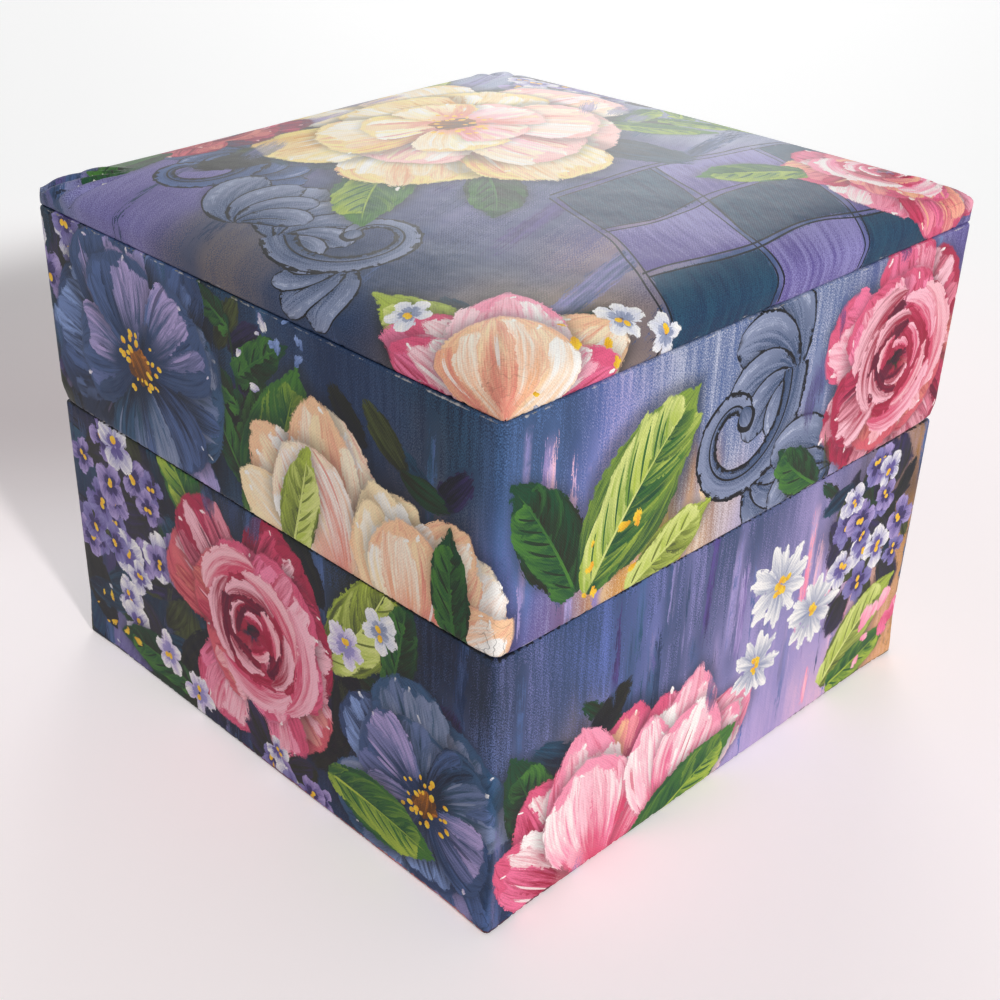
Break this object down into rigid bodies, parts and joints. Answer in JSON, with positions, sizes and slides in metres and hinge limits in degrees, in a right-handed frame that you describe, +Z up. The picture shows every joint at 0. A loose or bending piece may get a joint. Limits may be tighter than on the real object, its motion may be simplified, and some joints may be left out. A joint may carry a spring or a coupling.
{
  "type": "trinket box",
  "caption": "Square keepsake box of folded board covered in painterly floral paper, with a padded lid that lifts straight off an inner collar.",
  "frame": {"origin": "middle of the underside, where the box stands", "axes": "+Z up, the way the lid lifts; -X and -Y are the two sides first seen"},
  "size_m": [0.1, 0.1, 0.0864],
  "materials": {
    "board": "matte",
    "base_print": "satin",
    "lid_print": "satin",
    "top_print": "satin",
    "lining": "matte",
    "underside_paper": "matte",
    "foam": "matte"
  },
  "bodies": {
    "base": {"base_tray": "board", "base_wrap": "base_print", "underside_sheet": "underside_paper", "neck": "board", "neck_lining": "lining", "floor_lining": "lining"},
    "lid": {"lid_tray": "board", "lid_wrap": "lid_print", "ceiling_lining": "lining", "pad_board": "board", "pad_foam": "foam", "top_cover": "top_print"}
  },
  "joints": [
    {"name": "lid_lift", "type": "slide", "parent": "base", "child": "lid", "axis": [0, 0, 1], "range_m": [0, 0.06]}
  ]
}
